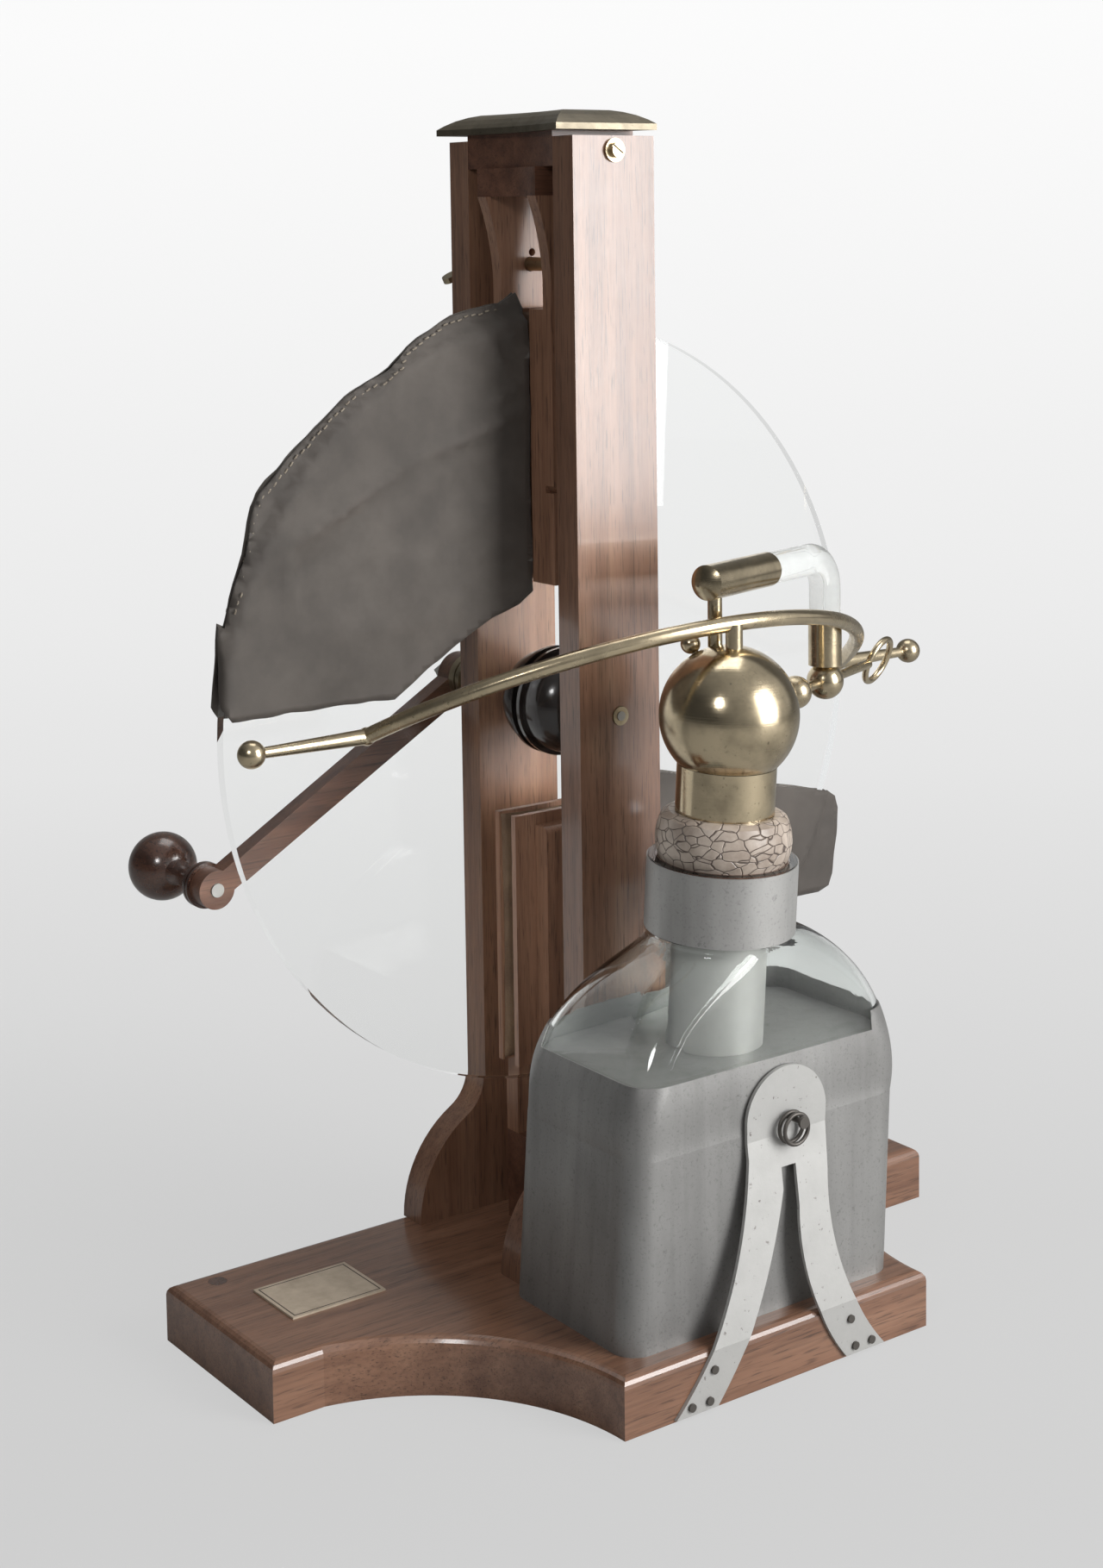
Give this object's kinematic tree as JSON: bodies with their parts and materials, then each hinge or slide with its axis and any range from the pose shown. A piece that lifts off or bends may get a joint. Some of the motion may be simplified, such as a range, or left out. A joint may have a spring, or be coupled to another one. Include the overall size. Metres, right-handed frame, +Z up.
{
  "type": "plate friction electrical machine",
  "caption": "Hand-cranked glass-plate friction machine with silk flaps, brass conductor ball and bow, bottle Leyden jar and spark-gap electrometer",
  "frame": {"origin": "underside of the base, below the middle of the glass plate", "axes": "X along the glass plate towards the electrometer side, +Y towards the crank, +Z up"},
  "size_m": [0.3723, 0.2789, 0.5101],
  "materials": {
    "mahogany": "polished",
    "dark_wood": "worn polish",
    "brass": "polished",
    "steel": "worn",
    "plate_glass": "clear",
    "bottle_glass": "clear",
    "rod_glass": "clear",
    "oiled_silk": "oiled",
    "pad_leather": "matt",
    "tinfoil": "dull metal foil",
    "tin": "dull tinned",
    "wax": "cracked wax",
    "dark_turned": "black lacquer",
    "label": "matt"
  },
  "bodies": {
    "frame": {"base": "mahogany", "dowel_plug": "dark_wood", "label_plate": "label", "front_upright": "mahogany", "rear_upright": "mahogany", "top_block": "mahogany", "cap_plate": "brass", "frame_screws": "brass", "front_bush": "brass", "rear_bush": "brass", "fork_block": "mahogany", "front_fork_arm": "mahogany", "rear_fork_arm": "mahogany", "upper_front_board": "mahogany", "upper_rear_board": "mahogany", "upper_front_pad": "pad_leather", "upper_rear_pad": "pad_leather", "lower_block": "mahogany", "lower_front_arm": "mahogany", "lower_rear_arm": "mahogany", "lower_front_board": "mahogany", "lower_rear_board": "mahogany", "lower_front_pad": "pad_leather", "lower_rear_pad": "pad_leather", "upper_front_silk": "oiled_silk", "upper_rear_silk": "oiled_silk", "lower_front_silk": "oiled_silk", "lower_rear_silk": "oiled_silk", "jar_bottle": "bottle_glass", "jar_foil": "tinfoil", "jar_filling": "tinfoil", "neck_band": "tinfoil", "neck_bung": "dark_wood", "wax_seal": "wax", "neck_ferrule": "brass", "inner_tube": "tin", "conductor_ball": "brass", "ball_terminal": "brass", "collecting_bow": "brass", "bow_stub": "brass", "left_collector": "brass", "right_collector": "brass", "electrometer_post": "brass", "glass_arm": "rod_glass", "arm_ferrule": "brass", "jar_bracket": "tin", "bracket_fixings": "steel"},
    "plate_and_crank": {"glass_plate": "plate_glass", "front_hub": "dark_turned", "rear_hub": "dark_turned", "axle": "steel", "crank_hub": "brass", "crank_arm": "mahogany", "crank_nut": "steel", "knob_spindle": "steel", "knob_collar": "dark_wood"},
    "knob": {"crank_knob": "dark_wood"},
    "clamp_screw": {"tightening_screw": "brass"},
    "gap_rod": {"sliding_rod": "brass"},
    "rings": {"link_rings": "steel"}
  },
  "joints": [
    {"name": "axle_spin", "type": "hinge", "parent": "frame", "child": "plate_and_crank", "pos_m": [0, 0, 0.257], "axis": [0, 1, 0], "continuous": true},
    {"name": "knob_spin", "type": "hinge", "parent": "plate_and_crank", "child": "knob", "pos_m": [-0.13097, 0.1, 0.17985], "axis": [0, 1, 0], "continuous": true},
    {"name": "clamp_screw_turn", "type": "hinge", "parent": "frame", "child": "clamp_screw", "pos_m": [0, 0.05, 0.446], "axis": [0, 1, 0], "range_deg": [-180, 180]},
    {"name": "gap_rod_slide", "type": "slide", "parent": "frame", "child": "gap_rod", "axis": [0.9254, 0.3789, 0], "range_m": [-0.023, 0.013]},
    {"name": "ring_swing", "type": "hinge", "parent": "frame", "child": "rings", "pos_m": [0.018, -0.132, 0.1046], "axis": [0, 1, 0], "range_deg": [-60, 60]}
  ]
}
